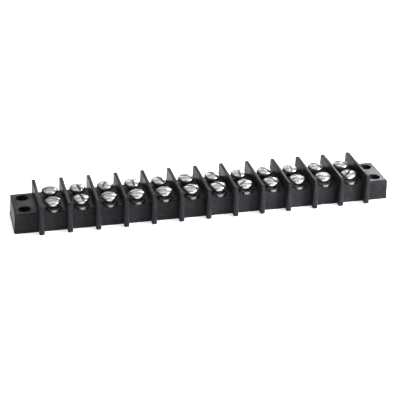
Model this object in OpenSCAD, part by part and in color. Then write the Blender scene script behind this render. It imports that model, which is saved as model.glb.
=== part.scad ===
// Barrier terminal strip: double row, closed back, a pair of mounting holes at each end.
// Origin: the middle of the strip's length and depth, on the surface that it stands on.
// X runs along the poles, -Y is the front row, +Z is up. All sizes are in millimetres.

/* [Body] */
// Number of poles, each with a front and a rear screw
poles = 12; // [2:1:18]
// Distance from one pole to the next
pitch = 9.525; // [9:0.005:12]
// Depth of the body between its front and rear faces
body_d = 16.1; // [15:0.1:20]
// Height of the body and of its end blocks
body_h = 7.14; // [6.5:0.02:10]
// Radius of the body's vertical corners
body_corner_r = 0.8; // [0.4:0.1:2]
// Radius of the edges round the body's top
body_edge_r = 0.5; // [0.1:0.05:0.6]
// How far the foot stands proud of the body all round
foot_step = 0.1; // [0.05:0.05:0.4]
// Height of the foot
foot_h = 0.9; // [0.4:0.1:1.5]

/* [End blocks] */
// Distance from the middle of an outer barrier to the end of the body, at its foot
end_reach = 8.85; // [8:0.01:14]
// How far each end of the body leans in between its foot and its top
end_draft = 0.45; // [0.05:0.05:0.8]
// Distance from the middle of an outer barrier to its mounting holes
hole_offset = 4.76; // [4:0.01:5.4]
// Distance between the two mounting holes of one end
hole_spacing = 8.7; // [6:0.1:10]
// Radius of a mounting hole
hole_r = 2; // [1:0.05:2.4]
// Width of the chamfer at a mounting hole's mouth
hole_chamfer = 0.2; // [0.1:0.05:0.5]

/* [Barriers] */
// Height of a barrier above the surface that the strip stands on
barrier_h = 10.8; // [10.4:0.1:16]
// Depth of a barrier from front to rear, at its foot
barrier_d = 22.7; // [20:0.1:28]
// How much shallower a barrier is at its top than at its foot
barrier_draft = 0.1; // [0.1:0.1:1.5]
// Thickness of a barrier at its foot
barrier_t = 1.95; // [1.5:0.05:2.3]
// Thickness of a barrier at its top
barrier_top_t = 1.1; // [0.8:0.05:1.4]
// Radius of a barrier's front and rear top corners
barrier_top_r = 1.2; // [0.3:0.1:3.4]
// Radius of a barrier's front and rear foot corners
barrier_foot_r = 0.9; // [0.4:0.1:2]
// Radius of the two long edges on top of a barrier
barrier_edge_r = 0.3; // [0.15:0.05:0.35]
// Width of the flat between the rounded edges of a barrier's ends and foot
barrier_flat = 0.25; // [0.1:0.05:0.6]

/* [Terminals] */
// Thickness of the brass strip
plate_t = 0.8; // [0.6:0.05:1.2]
// Width of the strip under the screw heads
plate_w = 5.6; // [5.2:0.1:6.2]
// Length of that wide part, from front to rear
plate_l = 13.6; // [13:0.1:14.4]
// Radius of the wide part's corners
plate_corner_r = 1.2; // [0.4:0.1:1.8]
// Width of the round nose at each end of the strip
nose_w = 3.6; // [2.4:0.1:4.4]
// How far the strip's top stands above the body
plate_proud = 0.3; // [0.1:0.05:0.5]
// Length of the drawn collars below the strip
collar_l = 2.4; // [1.5:0.1:3]
// Wall of a collar outside its thread
collar_wall = 0.7; // [0.5:0.05:0.9]
// Clearance of the strip and its collars in the body
seat_clearance = 0.05; // [0.02:0.01:0.1]

/* [Screws] */
// Distance between the front and the rear row of screws
row_spacing = 8.5; // [8.2:0.1:8.9]
// Radius of a screw's shank, over its thread
shank_r = 1.588; // [1.4:0.004:1.7]
// Radial clearance of the shank in its collar
thread_clearance = 0.05; // [0.02:0.01:0.1]
// Length of the shank
shank_l = 4.76; // [4:0.01:5.2]
// Length of the chamfer at the shank's end
shank_chamfer = 0.35; // [0.1:0.05:0.5]
// Radius of the head
head_r = 2.82; // [2.5:0.02:2.96]
// Height of the whole head
head_h = 1.7; // [1.5:0.05:2.1]
// Height of the head's straight side
head_side_h = 0.5; // [0.3:0.05:0.7]
// Radius of the dome on top of the head
crown_r = 6.5; // [5.6:0.1:12]
// Width of the slot
slot_w = 0.95; // [0.6:0.05:1.2]
// Depth of the slot below the top of the dome
slot_depth = 0.9; // [0.5:0.05:1.1]
// Radius of the undercut below the head
undercut_r = 2.1; // [1.9:0.05:2.3]
// Depth of the undercut
undercut_h = 0.12; // [0.05:0.01:0.2]
// How far the screws are backed out of their seats, ready for wiring
backed_out = 1; // [0.4:0.1:2]

/* [Hidden] */
$fn = 96;

// Where the driver left each slot, in degrees from X, for the front and the rear row
slots_front = [-25, -80, 5, 10, 10, -40, -50, 35, -55, 25, 10, 50];
slots_rear = [0, -80, 65, 90, -65, -35, -60, 85, -55, 75, -55, -45];

body_l = poles * pitch + 2 * end_reach;
hole_x = poles * pitch / 2 + hole_offset;
plate_top = body_h + plate_proud;
plate_bottom = plate_top - plate_t;
collar_bore_r = shank_r + thread_clearance;
collar_r = collar_bore_r + collar_wall;
collar_bottom = plate_bottom - collar_l;
head_bottom = plate_top + backed_out;
well_margin = 0.4;
well_r = shank_r + well_margin;
well_bottom = plate_top - shank_l - well_margin;
nose_r = nose_w / 2;
barrier_end_r = (barrier_t - barrier_flat) / 2;
cut = 1;

// The shoulder is the one arc that meets both the dome and the head's straight side smoothly
dome_drop = crown_r - head_h + head_side_h;
shoulder_r = (crown_r ^ 2 - head_r ^ 2 - dome_drop ^ 2) / (2 * (crown_r - head_r));
shoulder_x = crown_r * (head_r - shoulder_r) / (crown_r - shoulder_r);

function pole_x(i) = (i - (poles + 1) / 2) * pitch;
function barrier_x(i) = (i - poles / 2) * pitch;
function turn_of(turns, i) = turns[(i - 1) % len(turns)];

module rounded_rect(size, r) {
    square([size[0] - 2 * r, size[1]], center = true);
    square([size[0], size[1] - 2 * r], center = true);
    for (x = [-1, 1], y = [-1, 1])
        translate([x * (size[0] / 2 - r), y * (size[1] / 2 - r)]) circle(r);
}

// An upright outline, w wide at its foot and top_w at its top, with its corners rounded
module tapered_outline(w, top_w, h, foot_r, top_r) {
    lean = atan((w - top_w) / 2 / h);
    foot_y = w / 2 - foot_r * tan(45 + lean / 2);
    top_y = top_w / 2 - top_r * tan(45 - lean / 2);
    side = [cos(lean), sin(lean)];
    foot = [foot_y, foot_r] + foot_r * side;
    top = [top_y, h - top_r] + top_r * side;
    polygon([
        [-foot_y, 0], [foot_y, 0], foot, top, [top_y, h],
        [-top_y, h], [-top[0], top[1]], [-foot[0], foot[1]]
    ]);
    for (s = [-1, 1]) {
        translate([s * foot_y, foot_r]) circle(foot_r);
        translate([s * top_y, h - top_r]) circle(top_r);
    }
}

// Stands an outline drawn in X and Y up along Z, and extrudes it evenly both ways
module along_x(length) rotate([90, 0, 90]) linear_extrude(length, center = true) children();
module along_y(length) rotate([90, 0, 0]) linear_extrude(length, center = true) children();

module barrier() {
    room = 2 * cut;
    intersection() {
        along_x(barrier_t + room)
            tapered_outline(barrier_d, barrier_d - barrier_draft, barrier_h, barrier_foot_r, barrier_top_r);
        along_y(barrier_d + room)
            tapered_outline(barrier_t, barrier_top_t, barrier_h, barrier_end_r, barrier_edge_r);
        linear_extrude(barrier_h + room) rounded_rect([barrier_t, barrier_d], barrier_end_r);
    }
}

module body_block() {
    linear_extrude(foot_h)
        rounded_rect([body_l + 2 * foot_step, body_d + 2 * foot_step], body_corner_r + foot_step);
    intersection() {
        linear_extrude(body_h) rounded_rect([body_l, body_d], body_corner_r);
        along_x(body_l + cut) tapered_outline(body_d, body_d, body_h, body_edge_r, body_edge_r);
        along_y(body_d + cut)
            tapered_outline(body_l, body_l - 2 * end_draft, body_h, body_edge_r, body_edge_r);
    }
}

// A terminal's outline from above; the noses end in line with the body's faces
module plate_outline() {
    rounded_rect([plate_w, plate_l], plate_corner_r);
    square([nose_w, body_d - nose_w], center = true);
    for (s = [-1, 1]) translate([0, s * (body_d / 2 - nose_r)]) circle(nose_r);
}

// The seat of one terminal: a recess with open noses, two collar wells and two screw wells
module terminal_seat() {
    translate([0, 0, plate_bottom]) linear_extrude(plate_t + cut) {
        rounded_rect([plate_w + 2 * seat_clearance, plate_l + 2 * seat_clearance],
            plate_corner_r + seat_clearance);
        square([nose_w + 2 * seat_clearance, body_d + cut], center = true);
    }
    for (s = [-1, 1]) translate([0, s * row_spacing / 2, 0]) {
        translate([0, 0, collar_bottom])
            cylinder(h = collar_l + cut, r = collar_r + seat_clearance);
        translate([0, 0, well_bottom]) cylinder(h = body_h - well_bottom, r = well_r);
    }
}

module mounting_hole() {
    translate([0, 0, -cut]) cylinder(h = body_h + 2 * cut, r = hole_r);
    translate([0, 0, body_h - hole_chamfer])
        cylinder(h = hole_chamfer + cut, r1 = hole_r, r2 = hole_r + hole_chamfer + cut);
}

module housing() {
    color("#2b2b30") difference() {
        union() {
            body_block();
            for (i = [0:poles]) translate([barrier_x(i), 0, 0]) barrier();
        }
        for (i = [1:poles]) translate([pole_x(i), 0, 0]) terminal_seat();
        for (x = [-1, 1], y = [-1, 1])
            translate([x * hole_x, y * hole_spacing / 2, 0]) mounting_hole();
    }
}

module terminal(i) {
    color("#a8a59c") translate([pole_x(i), 0, 0]) difference() {
        union() {
            translate([0, 0, plate_bottom]) linear_extrude(plate_t) plate_outline();
            for (s = [-1, 1]) translate([0, s * row_spacing / 2, collar_bottom])
                cylinder(h = collar_l + plate_t / 2, r = collar_r);
        }
        for (s = [-1, 1]) translate([0, s * row_spacing / 2, collar_bottom - cut])
            cylinder(h = collar_l + plate_t + 2 * cut, r = collar_bore_r);
    }
}

// Half of the head's section, from its bearing face up
module head_profile() {
    intersection() {
        square([head_r, head_h]);
        translate([0, head_h - crown_r]) circle(crown_r);
        union() {
            square([shoulder_x, head_h]);
            square([head_r, head_side_h]);
            translate([head_r - shoulder_r, head_side_h]) circle(shoulder_r);
        }
    }
}

module screw(i, row, turn) {
    color("#d9d8d2") translate([pole_x(i), row * row_spacing / 2, head_bottom]) rotate(turn) {
        difference() {
            rotate_extrude() head_profile();
            translate([-head_r - cut, -slot_w / 2, head_h - slot_depth])
                cube([2 * (head_r + cut), slot_w, slot_depth + cut]);
            translate([0, 0, -cut]) cylinder(h = undercut_h + cut, r = undercut_r);
        }
        translate([0, 0, shank_chamfer - shank_l])
            cylinder(h = shank_l - shank_chamfer + undercut_h, r = shank_r);
        translate([0, 0, -shank_l])
            cylinder(h = shank_chamfer, r1 = shank_r - shank_chamfer, r2 = shank_r);
    }
}

housing();
for (i = [1:poles]) {
    terminal(i);
    screw(i, -1, turn_of(slots_front, i));
    screw(i, 1, turn_of(slots_rear, i));
}
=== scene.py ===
import math
import bpy
import bmesh
from mathutils import Matrix, Vector


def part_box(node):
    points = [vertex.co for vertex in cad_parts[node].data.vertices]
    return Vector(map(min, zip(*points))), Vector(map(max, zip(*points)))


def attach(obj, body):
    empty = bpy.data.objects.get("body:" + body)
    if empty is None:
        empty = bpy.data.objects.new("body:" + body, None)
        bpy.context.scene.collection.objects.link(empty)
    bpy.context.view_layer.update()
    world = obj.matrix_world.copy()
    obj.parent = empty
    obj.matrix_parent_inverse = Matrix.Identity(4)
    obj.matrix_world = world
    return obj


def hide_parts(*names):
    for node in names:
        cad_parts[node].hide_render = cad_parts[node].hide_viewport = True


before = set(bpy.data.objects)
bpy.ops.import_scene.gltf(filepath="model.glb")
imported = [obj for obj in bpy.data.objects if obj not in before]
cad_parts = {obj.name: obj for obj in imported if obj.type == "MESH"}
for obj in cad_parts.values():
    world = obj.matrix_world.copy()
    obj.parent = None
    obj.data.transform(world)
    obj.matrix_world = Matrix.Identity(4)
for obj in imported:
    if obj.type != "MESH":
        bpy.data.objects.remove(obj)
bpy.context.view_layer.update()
print("frame loaded:", len(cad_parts), "nodes")

mm = 0.001
poles = sum(1 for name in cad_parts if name.startswith("terminal_"))

# Where the camera stands, seen from the middle of the strip (metres and degrees)
cameraSetup = {
    "target": (-0.0006, 0.0, 0.0022),
    "azimuth": -13.88,      # negative stands to the left of the front
    "elevation": 25.93,
    "roll": 0.79,
    "distance": 0.4218,
    "lens": 108.6,          # on a 36 mm sensor
}


def makeCamera(setup):
    data = bpy.data.cameras.new("camera")
    data.lens = setup["lens"]
    data.sensor_width = 36.0
    data.clip_start = 0.01
    data.clip_end = 20.0
    camera = bpy.data.objects.new("camera", data)
    bpy.context.collection.objects.link(camera)
    azimuth = math.radians(setup["azimuth"])
    elevation = math.radians(setup["elevation"])
    towardsCamera = Vector((
        math.sin(azimuth) * math.cos(elevation),
        -math.cos(azimuth) * math.cos(elevation),
        math.sin(elevation),
    ))
    turn = (-towardsCamera).to_track_quat("-Z", "Y").to_matrix()
    roll = Matrix.Rotation(math.radians(setup["roll"]), 3, "Z")
    place = Matrix.Translation(Vector(setup["target"]) + towardsCamera * setup["distance"])
    camera.matrix_world = place @ (turn @ roll).to_4x4()
    bpy.context.scene.camera = camera


makeCamera(cameraSetup)
print("camera placed")


def node(tree, kind, **settings):
    made = tree.nodes.new(kind)
    for key, value in settings.items():
        setattr(made, key, value)
    return made


def addMath(tree, operation, first, second=None, third=None, clamp=False):
    made = node(tree, "ShaderNodeMath", operation=operation, use_clamp=clamp)
    for socket, value in zip(made.inputs, (first, second, third)):
        if value is None:
            continue
        if isinstance(value, (int, float)):
            socket.default_value = value
        else:
            tree.links.new(value, socket)
    return made.outputs[0]


def addRange(tree, value, fromLow, fromHigh, toLow, toHigh, smooth=True):
    made = node(tree, "ShaderNodeMapRange", interpolation_type="SMOOTHSTEP" if smooth else "LINEAR")
    tree.links.new(value, made.inputs["Value"])
    for key, number in (("From Min", fromLow), ("From Max", fromHigh), ("To Min", toLow), ("To Max", toHigh)):
        made.inputs[key].default_value = number
    return made.outputs["Result"]


def addNoise(tree, vector, scale, detail=3.0, roughness=0.5, distortion=0.0):
    made = node(tree, "ShaderNodeTexNoise", noise_dimensions="3D")
    tree.links.new(vector, made.inputs["Vector"])
    made.inputs["Scale"].default_value = scale
    made.inputs["Detail"].default_value = detail
    made.inputs["Roughness"].default_value = roughness
    made.inputs["Distortion"].default_value = distortion
    return made.outputs["Fac"]


def addMix(tree, amount, first, second):
    made = node(tree, "ShaderNodeMix", data_type="RGBA", blend_type="MIX")
    tree.links.new(amount, made.inputs["Factor"])
    for socket, value in ((made.inputs["A"], first), (made.inputs["B"], second)):
        if isinstance(value, tuple):
            socket.default_value = (*value, 1.0)
        else:
            tree.links.new(value, socket)
    return made.outputs["Result"]


def newGroup(name, inputs, outputs):
    group = bpy.data.node_groups.new(name, "ShaderNodeTree")
    for label, kind, value in inputs:
        socket = group.interface.new_socket(label, in_out="INPUT", socket_type=kind)
        if value is not None:
            socket.default_value = value
    for label, kind in outputs:
        group.interface.new_socket(label, in_out="OUTPUT", socket_type=kind)
    start = group.nodes.new("NodeGroupInput")
    end = group.nodes.new("NodeGroupOutput")
    return group, start, end


# Cloudy variation at three sizes: patches, mottling and a fine grain, each from 0 to 1
def makeMottleGroup():
    group, start, end = newGroup(
        "mottle",
        [("Vector", "NodeSocketVector", None), ("Patches", "NodeSocketFloat", 90.0),
         ("Mottling", "NodeSocketFloat", 600.0), ("Grain", "NodeSocketFloat", 5200.0)],
        [("Patches", "NodeSocketFloat"), ("Mottling", "NodeSocketFloat"), ("Grain", "NodeSocketFloat")],
    )
    for label, detail, low, high in (("Patches", 2.0, 0.35, 0.65), ("Mottling", 4.0, 0.3, 0.7),
                                     ("Grain", 2.0, 0.2, 0.8)):
        made = node(group, "ShaderNodeTexNoise", noise_dimensions="3D")
        group.links.new(start.outputs["Vector"], made.inputs["Vector"])
        group.links.new(start.outputs[label], made.inputs["Scale"])
        made.inputs["Detail"].default_value = detail
        group.links.new(addRange(group, made.outputs["Fac"], low, high, 0.0, 1.0), end.inputs[label])
    return group


# Thin scratches: stretched noise in two directions, cut down to its narrow ridges
def makeScratchGroup():
    group, start, end = newGroup(
        "scratches",
        [("Vector", "NodeSocketVector", None), ("Scale", "NodeSocketFloat", 700.0),
         ("Width", "NodeSocketFloat", 0.012)],
        [("Scratches", "NodeSocketFloat")],
    )
    ridges = []
    for turnDegrees, stretch in ((24.0, (1.0, 0.05, 0.3)), (-58.0, (1.0, 0.035, 0.3))):
        mapping = node(group, "ShaderNodeMapping", vector_type="POINT")
        mapping.inputs["Rotation"].default_value = (0.0, 0.2, math.radians(turnDegrees))
        mapping.inputs["Scale"].default_value = stretch
        group.links.new(start.outputs["Vector"], mapping.inputs["Vector"])
        made = node(group, "ShaderNodeTexNoise", noise_dimensions="3D")
        group.links.new(mapping.outputs["Vector"], made.inputs["Vector"])
        group.links.new(start.outputs["Scale"], made.inputs["Scale"])
        made.inputs["Detail"].default_value = 1.5
        away = addMath(group, "ABSOLUTE", addMath(group, "SUBTRACT", made.outputs["Fac"], 0.5))
        share = addMath(group, "DIVIDE", away, start.outputs["Width"])
        ridges.append(addMath(group, "SUBTRACT", 1.0, share, clamp=True))
    gate = addRange(group, addNoise(group, start.outputs["Vector"], 260.0, 2.0), 0.5, 0.62, 0.0, 1.0)
    both = addMath(group, "MAXIMUM", ridges[0], ridges[1])
    group.links.new(addMath(group, "MULTIPLY", both, gate), end.inputs["Scratches"])
    return group


mottleGroup = makeMottleGroup()
scratchGroup = makeScratchGroup()


def useGroup(tree, group, vector, **values):
    made = node(tree, "ShaderNodeGroup", node_tree=group)
    tree.links.new(vector, made.inputs["Vector"])
    for key, value in values.items():
        made.inputs[key].default_value = value
    return made


def startMaterial(name):
    material = bpy.data.materials.new(name)
    material.use_nodes = True
    tree = material.node_tree
    shader = tree.nodes["Principled BSDF"]
    where = node(tree, "ShaderNodeTexCoord").outputs["Object"]
    return material, tree, shader, where


def addBump(tree, shader, height, strength, distance, normal=None):
    bump = node(tree, "ShaderNodeBump")
    bump.inputs["Strength"].default_value = strength
    bump.inputs["Distance"].default_value = distance
    tree.links.new(height, bump.inputs["Height"])
    if normal is not None:
        tree.links.new(normal, bump.inputs["Normal"])
    if shader is not None:
        tree.links.new(bump.outputs["Normal"], shader.inputs["Normal"])
    return bump.outputs["Normal"]


mouldedBlack = {
    "deep": (0.0080, 0.0078, 0.0094),
    "dull": (0.0165, 0.0162, 0.0190),
    "dust": (0.16, 0.155, 0.145),
    "gloss": (0.30, 0.46),      # roughness between its shiny and its dull patches
    "specular": 0.10,
}


def makeMouldedBlack(look):
    material, tree, shader, where = startMaterial("mouldedBlack")
    mottle = useGroup(tree, mottleGroup, where, Patches=85.0, Mottling=520.0, Grain=6200.0)
    scratch = useGroup(tree, scratchGroup, where, Scale=420.0, Width=0.009)
    cloud = addMath(tree, "ADD", addMath(tree, "MULTIPLY", mottle.outputs["Patches"], 0.65),
                    addMath(tree, "MULTIPLY", mottle.outputs["Mottling"], 0.35))
    base = addMix(tree, cloud, look["deep"], look["dull"])
    # Dust lies on faces that look up, in specks and a thin film
    up = node(tree, "ShaderNodeSeparateXYZ")
    tree.links.new(node(tree, "ShaderNodeNewGeometry").outputs["Normal"], up.inputs[0])
    flat = addRange(tree, up.outputs["Z"], 0.6, 0.98, 0.0, 1.0)
    specks = addRange(tree, addNoise(tree, where, 2600.0, 1.0), 0.70, 0.76, 0.0, 0.5)
    film = addMath(tree, "MULTIPLY", mottle.outputs["Mottling"], 0.07)
    dusty = addMath(tree, "MULTIPLY", addMath(tree, "ADD", specks, film, clamp=True), flat)
    marked = addMath(tree, "MAXIMUM", dusty, addMath(tree, "MULTIPLY", scratch.outputs["Scratches"], 0.16))
    tree.links.new(addMix(tree, marked, base, look["dust"]), shader.inputs["Base Color"])
    rough = addRange(tree, mottle.outputs["Patches"], 0.0, 1.0, look["gloss"][0], look["gloss"][1], False)
    rough = addMath(tree, "ADD", rough, addMath(tree, "MULTIPLY", marked, 0.25), clamp=True)
    tree.links.new(rough, shader.inputs["Roughness"])
    shader.inputs["IOR"].default_value = 1.5
    shader.inputs["Specular IOR Level"].default_value = look["specular"]
    # Flow waviness of the moulding, with a fine sparkle of grain over it
    waves = addNoise(tree, where, 240.0, 2.0, 0.4, 0.6)
    swell = addBump(tree, None, waves, 0.35, 0.00004)
    fine = addMath(tree, "ADD", addMath(tree, "MULTIPLY", mottle.outputs["Grain"], 0.6),
                   addMath(tree, "MULTIPLY", mottle.outputs["Mottling"], 0.4))
    grainy = addBump(tree, None, fine, 0.22, 0.000012, swell)
    grooves = addMath(tree, "MULTIPLY", scratch.outputs["Scratches"], -1.0)
    addBump(tree, shader, grooves, 0.25, 0.000006, grainy)
    return material


screwNickel = {
    "bright": (0.58, 0.57, 0.55),
    "dull": (0.41, 0.40, 0.385),
    "grimeAndShade": (0.07, 0.065, 0.06),
    "gloss": (0.26, 0.38),
}


# The screws carry a map of their own place on the head: U and V are millimetres from the axis
def makeScrewNickel(look):
    material, tree, shader, where = startMaterial("screwNickel")
    mottle = useGroup(tree, mottleGroup, where, Patches=420.0, Mottling=1500.0, Grain=9000.0)
    scratch = useGroup(tree, scratchGroup, where, Scale=1300.0, Width=0.014)
    onHead = node(tree, "ShaderNodeUVMap", uv_map="onHead").outputs["UV"]
    length = node(tree, "ShaderNodeVectorMath", operation="LENGTH")
    tree.links.new(onHead, length.inputs[0])
    rings = node(tree, "ShaderNodeTexNoise", noise_dimensions="1D")
    tree.links.new(length.outputs["Value"], rings.inputs["W"])
    rings.inputs["Scale"].default_value = 14.0
    rings.inputs["Detail"].default_value = 4.0
    ringed = addRange(tree, rings.outputs["Fac"], 0.3, 0.7, 0.0, 1.0)
    tone = addMath(tree, "ADD", addMath(tree, "MULTIPLY", mottle.outputs["Mottling"], 0.5),
                   addMath(tree, "MULTIPLY", ringed, 0.35), clamp=True)
    plated = addMix(tree, tone, look["bright"], look["dull"])
    # Grime and painted shade darken the slot towards its floor, the shank under the head and the thread roots
    hollowGrimeAndShade = node(tree, "ShaderNodeAttribute", attribute_type="GEOMETRY", attribute_name="hollowGrimeAndShade")
    dirtAndShade = addMath(tree, "MULTIPLY", hollowGrimeAndShade.outputs["Fac"],
                   addRange(tree, mottle.outputs["Mottling"], 0.0, 1.0, 0.35, 0.95, False), clamp=True)
    tree.links.new(addMix(tree, dirtAndShade, plated, look["grimeAndShade"]), shader.inputs["Base Color"])
    shader.inputs["Metallic"].default_value = 1.0
    rough = addRange(tree, tone, 0.0, 1.0, look["gloss"][0], look["gloss"][1], False)
    rough = addMath(tree, "ADD", rough, addMath(tree, "MULTIPLY", scratch.outputs["Scratches"], 0.18))
    rough = addMath(tree, "ADD", rough, addMath(tree, "MULTIPLY", dirtAndShade, 0.35), clamp=True)
    tree.links.new(rough, shader.inputs["Roughness"])
    turned = addBump(tree, None, ringed, 0.12, 0.000003)
    pitted = addBump(tree, None, mottle.outputs["Mottling"], 0.12, 0.000005, turned)
    grooves = addMath(tree, "MULTIPLY", scratch.outputs["Scratches"], -1.0)
    addBump(tree, shader, grooves, 0.3, 0.000004, pitted)
    return material


terminalNickel = {
    "bright": (0.33, 0.33, 0.32),
    "dull": (0.23, 0.23, 0.22),
    "brass": (0.36, 0.31, 0.22),
    # painted shade: near-black colour standing in for the shade under and between the heads
    "paintedShade": (0.035, 0.033, 0.032),
    "unshadedHalfWidth": (1.75, 2.05),     # the noses are left out of the painted shade, as far in as the heads' rims
    "unshadedReach": (4.7, 5.3),
    "gloss": (0.42, 0.58),
}


# The terminals carry a map too: U and V are millimetres from the middle of their pole
def makeTerminalNickel(look):
    material, tree, shader, where = startMaterial("terminalNickel")
    mottle = useGroup(tree, mottleGroup, where, Patches=260.0, Mottling=1100.0, Grain=7000.0)
    scratch = useGroup(tree, scratchGroup, where, Scale=900.0, Width=0.012)
    # Rolling marks run along the strip, from front to rear
    mapping = node(tree, "ShaderNodeMapping", vector_type="POINT")
    mapping.inputs["Scale"].default_value = (1.0, 0.02, 0.4)
    tree.links.new(where, mapping.inputs["Vector"])
    rolled = addRange(tree, addNoise(tree, mapping.outputs["Vector"], 5200.0, 3.0), 0.3, 0.7, 0.0, 1.0)
    tone = addMath(tree, "ADD", addMath(tree, "MULTIPLY", mottle.outputs["Patches"], 0.55),
                   addMath(tree, "MULTIPLY", rolled, 0.35), clamp=True)
    plated = addMix(tree, tone, look["bright"], look["dull"])
    worn = addRange(tree, mottle.outputs["Mottling"], 0.72, 1.0, 0.0, 0.35)
    # Painted shade: the plate is painted near-black all over but its noses, for the shade under and between
    # the heads
    place = node(tree, "ShaderNodeSeparateXYZ")
    tree.links.new(node(tree, "ShaderNodeUVMap", uv_map="onStrip").outputs["UV"], place.inputs[0])
    inside = addRange(tree, addMath(tree, "ABSOLUTE", place.outputs["X"]), *look["unshadedHalfWidth"], 1.0, 0.0)
    ahead = addRange(tree, addMath(tree, "ABSOLUTE", place.outputs["Y"]), *look["unshadedReach"], 0.0, 1.0)
    unshaded = addMath(tree, "MULTIPLY", inside, ahead)
    dark = addRange(tree, unshaded, 0.0, 1.0, 0.94, 0.0, False)
    shadedPlate = addMix(tree, dark, addMix(tree, worn, plated, look["brass"]), look["paintedShade"])
    tree.links.new(shadedPlate, shader.inputs["Base Color"])
    shader.inputs["Metallic"].default_value = 1.0
    rough = addRange(tree, tone, 0.0, 1.0, look["gloss"][0], look["gloss"][1], False)
    scuffed = addMath(tree, "MULTIPLY", scratch.outputs["Scratches"], 0.15)
    rough = addMath(tree, "ADD", rough, scuffed, clamp=True)
    tree.links.new(rough, shader.inputs["Roughness"])
    lines = addBump(tree, None, rolled, 0.22, 0.000006)
    grooves = addMath(tree, "MULTIPLY", scratch.outputs["Scratches"], -1.0)
    addBump(tree, shader, grooves, 0.35, 0.000006, lines)
    return material


blackMaterial = makeMouldedBlack(mouldedBlack)
screwMaterial = makeScrewNickel(screwNickel)
terminalMaterial = makeTerminalNickel(terminalNickel)
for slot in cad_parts["housing"].material_slots:
    slot.material = blackMaterial
print("materials made")


def finishMesh(name, bm, material, sharpAngle=32.0):
    mesh = bpy.data.meshes.new(name)
    bm.to_mesh(mesh)
    bm.free()
    mesh.shade_smooth()
    mesh.set_sharp_from_angle(angle=math.radians(sharpAngle))
    mesh.materials.append(material)
    made = bpy.data.objects.new(name, mesh)
    bpy.context.collection.objects.link(made)
    return made


def addProfile(bm, points):
    corners = [bm.verts.new((x, 0.0, z)) for x, z in points]
    return corners + [bm.edges.new(pair) for pair in zip(corners, corners[1:])]


# Binding-head machine screw, all in millimetres from its axis and its bearing face
screwSizes = {
    "headRadius": 2.82, "headHeight": 1.70, "sideHeight": 0.50, "crownRadius": 6.5,
    "slotWidth": 0.95, "slotDepth": 0.90, "slotEdge": 0.05,
    "undercutRadius": 2.10, "undercutDepth": 0.12, "lowerEdge": 0.08, "bearingGap": 0.02,
    "crestRadius": 1.575, "rootRadius": 1.22, "threadPitch": 0.794,
    "shankLength": 4.76, "plainLength": 0.45, "pointLength": 0.35, "pointDrop": 0.25,
    "neckTaper": 0.22, "threadInset": 0.12,
    "rootHalf": 0.36, "crestHalf": 0.07,        # shares of the pitch
    "aroundHead": 72, "aroundThread": 30,
}
# Where the driver left each slot, in degrees
slotTurns = {
    "front": (-25, -80, 5, 10, 10, -40, -50, 35, -55, 25, 10, 50),
    "rear": (0, -80, 65, 90, -65, -35, -60, 85, -55, 75, -55, -45),
}


# The head's outline from the bearing face out, up the side and over the dome
def headOutline(size):
    radius, top, side = size["headRadius"], size["headHeight"], size["sideHeight"]
    crown = size["crownRadius"]
    drop = crown - top + side
    shoulder = (crown ** 2 - radius ** 2 - drop ** 2) / (2 * (crown - radius))
    centre = Vector((radius - shoulder, side))
    crownCentre = Vector((0.0, top - crown))
    meet = crownCentre + (centre - crownCentre).normalized() * crown
    last = math.atan2(meet.y - centre.y, meet.x - centre.x)
    edge, low = size["lowerEdge"], size["bearingGap"]
    points = [(size["undercutRadius"], low), (radius - edge, low)]
    points += [(radius - edge + edge * math.sin(a), low + edge - edge * math.cos(a))
               for a in (math.radians(30), math.radians(60), math.radians(90))]
    points += [(centre.x + shoulder * math.cos(last * t / 7), centre.y + shoulder * math.sin(last * t / 7))
               for t in range(8)]
    start = math.atan2(meet.x, meet.y - crownCentre.y)
    points += [(crown * math.sin(start * (1 - t / 7)), crownCentre.y + crown * math.cos(start * (1 - t / 7)))
               for t in range(1, 8)]
    return points


def cutSlot(bm, size):
    half, floor = size["slotWidth"] / 2, size["headHeight"] - size["slotDepth"]
    near = 1e-4

    def bisect(geometry, place, direction):
        bmesh.ops.bisect_plane(bm, geom=geometry, dist=1e-6, plane_co=place, plane_no=direction)

    def inSlot(face, height):
        centre = face.calc_center_median()
        return abs(centre.y) < half and centre.z > height

    bisect(bm.verts[:] + bm.edges[:] + bm.faces[:], (0, half, 0), (0, 1, 0))
    bisect(bm.verts[:] + bm.edges[:] + bm.faces[:], (0, -half, 0), (0, 1, 0))
    strip = [f for f in bm.faces if inSlot(f, 0)]
    around = {e for f in strip for e in f.edges} | {v for f in strip for v in f.verts}
    bisect(strip + list(around), (0, 0, floor), (0, 0, 1))
    gone = [f for f in bm.faces if inSlot(f, floor)]
    bmesh.ops.delete(bm, geom=gone, context="FACES")
    rim = [e for e in bm.edges if e.is_boundary]
    onFloor = {v for e in rim for v in e.verts if abs(v.co.z - floor) < near}
    corners = [v for v in onFloor if abs(abs(v.co.y) - half) < near]
    mouthEdges = []
    floorEdges = [e for e in rim if all(abs(v.co.z - floor) < near for v in e.verts)]
    for side in (-half, half):
        pair = [v for v in corners if abs(v.co.y - side) < near]
        foot = bm.edges.new(pair)
        floorEdges.append(foot)
        mouth = [e for e in rim if e not in floorEdges and all(abs(v.co.y - side) < near for v in e.verts)]
        bmesh.ops.contextual_create(bm, geom=mouth + [foot])
        mouthEdges += mouth
    bmesh.ops.contextual_create(bm, geom=floorEdges)
    bmesh.ops.bevel(bm, geom=[e for e in mouthEdges if e.is_valid], offset=size["slotEdge"], segments=2,
                    profile=0.5, affect="EDGES", material=-1, clamp_overlap=True)


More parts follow.
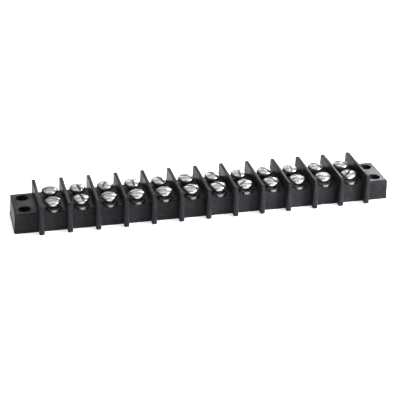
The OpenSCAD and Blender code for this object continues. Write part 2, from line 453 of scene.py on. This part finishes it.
# A head and a plain core in one closed skin
def makeScrewBody(size):
    bm = bmesh.new()
    core, undercut = size["rootRadius"] + 0.02, size["undercutDepth"]
    end = -size["shankLength"]
    points = [(0.0, end), (core - size["pointDrop"], end), (core, end + size["pointLength"]),
              (core, -size["plainLength"]), (size["crestRadius"], -size["plainLength"] + size["neckTaper"]),
              (size["crestRadius"], undercut), (size["undercutRadius"], undercut)]
    geometry = addProfile(bm, points + headOutline(size))
    bmesh.ops.spin(bm, geom=geometry, axis=(0, 0, 1), cent=(0, 0, 0), angle=math.tau,
                   steps=size["aroundHead"], use_merge=True, use_duplicate=False)
    bmesh.ops.remove_doubles(bm, verts=bm.verts[:], dist=1e-5)
    cutSlot(bm, size)
    bmesh.ops.recalc_face_normals(bm, faces=bm.faces[:])
    return bm


# The thread: its section wound up the shank, and cut level at both ends
def makeThread(size):
    bm = bmesh.new()
    pitch, root, crest = size["threadPitch"], size["rootRadius"] - 0.04, size["crestRadius"]
    bottom, top = -size["shankLength"] + size["threadInset"], -size["plainLength"] + size["threadInset"]
    start = bottom - pitch
    rootHalf, crestHalf = size["rootHalf"] * pitch, size["crestHalf"] * pitch
    section = [(root, start - rootHalf), (crest, start - crestHalf),
               (crest, start + crestHalf), (root, start + rootHalf)]
    corners = [bm.verts.new((x, 0.0, z)) for x, z in section]
    face = bm.faces.new(corners)
    turns = math.ceil((top - start) / pitch + 1)
    steps = size["aroundThread"] * turns
    bmesh.ops.spin(bm, geom=[face] + face.edges[:] + face.verts[:], axis=(0, 0, 1), cent=(0, 0, 0),
                   dvec=(0, 0, pitch / size["aroundThread"]), angle=math.tau * turns, steps=steps,
                   use_merge=False, use_duplicate=False)
    for height, outwards in ((bottom, -1), (top, 1)):
        bmesh.ops.bisect_plane(bm, geom=bm.verts[:] + bm.edges[:] + bm.faces[:], dist=1e-6,
                               plane_co=(0, 0, height), plane_no=(0, 0, outwards), clear_outer=True)
        bmesh.ops.holes_fill(bm, edges=[e for e in bm.edges if e.is_boundary], sides=0)
    # The first turn grows out of the point
    for vert in bm.verts:
        reach = Vector((vert.co.x, vert.co.y)).length
        limit = size["crestRadius"] - size["pointDrop"] + (vert.co.z + size["shankLength"]) * 0.9
        if reach > max(limit, root):
            vert.co.x *= max(limit, root) / reach
            vert.co.y *= max(limit, root) / reach
    bmesh.ops.recalc_face_normals(bm, faces=bm.faces[:])
    return bm


# How deep in a hollow each corner lies, for the grime and painted shade: slot, undercut and thread root
def markHollows(bm, size):
    layer = bm.verts.layers.float.new("hollowGrimeAndShade")
    half, floor = size["slotWidth"] / 2, size["headHeight"] - size["slotDepth"]
    for vert in bm.verts:
        reach = Vector((vert.co.x, vert.co.y)).length
        inSlot = abs(vert.co.y) < half + 0.01 and vert.co.z > floor - 0.01
        if inSlot:
            vert[layer] = max(0.0, min(1.0, 1.0 - (vert.co.z - floor) / 0.75)) * 0.8
        elif vert.co.z < size["undercutDepth"] + 0.01 and reach < size["crestRadius"] - 0.1:
            vert[layer] = 0.85
        elif vert.co.z < size["undercutDepth"] + 0.01 and reach < size["undercutRadius"] + 0.05:
            vert[layer] = 0.45


def placeScrew(name, body, thread, place, turnDegrees):
    bm = bmesh.new()
    for part in (body, thread):
        bm.from_mesh(part)
    uv = bm.loops.layers.uv.new("onHead")
    for face in bm.faces:
        for loop in face.loops:
            loop[uv].uv = (loop.vert.co.x, loop.vert.co.y)
    turn = Matrix.Rotation(math.radians(turnDegrees), 4, "Z")
    matrix = Matrix.Translation(place) @ turn @ Matrix.Scale(mm, 4)
    bmesh.ops.transform(bm, matrix=matrix, verts=bm.verts[:])
    return finishMesh(name, bm, screwMaterial, 38.0)


def keepMesh(bm, name, size):
    markHollows(bm, size)
    mesh = bpy.data.meshes.new(name)
    bm.to_mesh(mesh)
    bm.free()
    return mesh


screwBody = keepMesh(makeScrewBody(screwSizes), "screwBody", screwSizes)
screwThread = keepMesh(makeThread(screwSizes), "screwThread", screwSizes)
for row, turns in slotTurns.items():
    for pole in range(1, poles + 1):
        cadName = f"screw_{row}_{pole}"
        low, high = (Vector(corner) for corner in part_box(cadName))
        middle = (low + high) / 2
        bearing = high.z - screwSizes["headHeight"] * mm
        screw = placeScrew(f"bindingScrew_{row}_{pole}", screwBody, screwThread,
                           Vector((middle.x, middle.y, bearing)), turns[(pole - 1) % len(turns)])
        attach(screw, cadName)
        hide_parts(cadName)
bpy.data.meshes.remove(screwBody)
bpy.data.meshes.remove(screwThread)
print("screws made")


terminalFinish = {
    "burrEdge": 0.07,       # width of the rolled edge that the press leaves, in millimetres
    "edgeSteps": 2,
}


def makeTerminal(cadName, finish):
    bm = bmesh.new()
    bm.from_mesh(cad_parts[cadName].data)
    bmesh.ops.remove_doubles(bm, verts=bm.verts[:], dist=2e-6)
    bmesh.ops.dissolve_limit(bm, angle_limit=math.radians(0.6), verts=bm.verts[:], edges=bm.edges[:],
                             use_dissolve_boundaries=False)
    middle = sum(corner[0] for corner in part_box(cadName)) / 2
    uv = bm.loops.layers.uv.new("onStrip")
    for face in bm.faces:
        for loop in face.loops:
            loop[uv].uv = ((loop.vert.co.x - middle) / mm, loop.vert.co.y / mm)
    piece = finishMesh(cadName.replace("terminal_", "terminalPlate_"), bm, terminalMaterial, 30.0)
    bevel = piece.modifiers.new("edges", "BEVEL")
    bevel.width = finish["burrEdge"] * mm
    bevel.segments = finish["edgeSteps"]
    bevel.limit_method = "ANGLE"
    bevel.angle_limit = math.radians(40)
    bevel.harden_normals = True
    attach(piece, "strip")
    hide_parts(cadName)
    return piece


for pole in range(1, poles + 1):
    makeTerminal(f"terminal_{pole}", terminalFinish)
print("terminals made")


studio = {
    "floor": (0.80, 0.80, 0.80),
    "floorGlow": 0.55,          # the light table's own light
    "floorGap": 0.00005,
    "horizon": (0.30, 0.30, 0.31),
    "zenith": (0.55, 0.55, 0.57),
    "skyStrength": 1.0,
}
# Softboxes: width and height, place, the point they face, and their power in watts
softboxes = {
    "overhead": {"size": (0.8, 0.5), "at": (0.0, 0.05, 0.75), "faces": (0, 0, 0), "power": 1.6},
    "frontLeft": {"size": (0.30, 0.45), "at": (-0.72, -0.42, 0.50), "faces": (0, 0, 0), "power": 0.8},
    "frontRight": {"size": (0.30, 0.45), "at": (0.52, -0.62, 0.45), "faces": (0, 0, 0), "power": 1.2},
    "backRight": {"size": (0.20, 0.26), "at": (0.42, 0.85, 0.47), "faces": (0.04, 0, 0), "power": 2.3},
    "backLeft": {"size": (0.30, 0.16), "at": (0.0, 0.90, 0.47), "faces": (-0.04, 0, 0), "power": 0.65},
    "lowRight": {"size": (0.12, 0.12), "at": (0.24, -0.18, 0.11), "faces": (0.07, 0, 0), "power": 2.5},
}


def makeStudio(look, lamps):
    scene = bpy.context.scene
    scene.view_settings.view_transform = "Standard"
    world = bpy.data.worlds.new("studio")
    scene.world = world
    world.use_nodes = True
    tree = world.node_tree
    background = tree.nodes["Background"]
    split = node(tree, "ShaderNodeSeparateXYZ")
    tree.links.new(node(tree, "ShaderNodeTexCoord").outputs["Generated"], split.inputs[0])
    height = addRange(tree, split.outputs["Z"], 0.30, 0.95, 0.0, 1.0)
    tree.links.new(addMix(tree, height, look["horizon"], look["zenith"]), background.inputs["Color"])
    background.inputs["Strength"].default_value = look["skyStrength"]
    for name, lamp in lamps.items():
        data = bpy.data.lights.new(name, "AREA")
        data.shape = "RECTANGLE"
        data.size, data.size_y = lamp["size"]
        data.energy = lamp["power"]
        made = bpy.data.objects.new(name, data)
        bpy.context.collection.objects.link(made)
        made.location = lamp["at"]
        made.rotation_euler = (Vector(lamp["faces"]) - Vector(lamp["at"])).to_track_quat("-Z", "Y").to_euler()
    bm = bmesh.new()
    bmesh.ops.create_grid(bm, x_segments=1, y_segments=1, size=4.0)
    bmesh.ops.translate(bm, verts=bm.verts[:], vec=(0, 0, -look["floorGap"]))
    floorMaterial, floorTree, shader, where = startMaterial("paleFloor")
    paper = addNoise(floorTree, where, 40.0, 3.0)
    floorTree.links.new(addMix(floorTree, addRange(floorTree, paper, 0.3, 0.7, 0.0, 1.0), look["floor"],
                               tuple(v * 0.99 for v in look["floor"])), shader.inputs["Base Color"])
    shader.inputs["Roughness"].default_value = 0.85
    shader.inputs["Emission Color"].default_value = (1.0, 1.0, 1.0, 1.0)
    shader.inputs["Emission Strength"].default_value = look["floorGlow"]
    floor = finishMesh("floor", bm, floorMaterial)


makeStudio(studio, softboxes)
print("studio made")
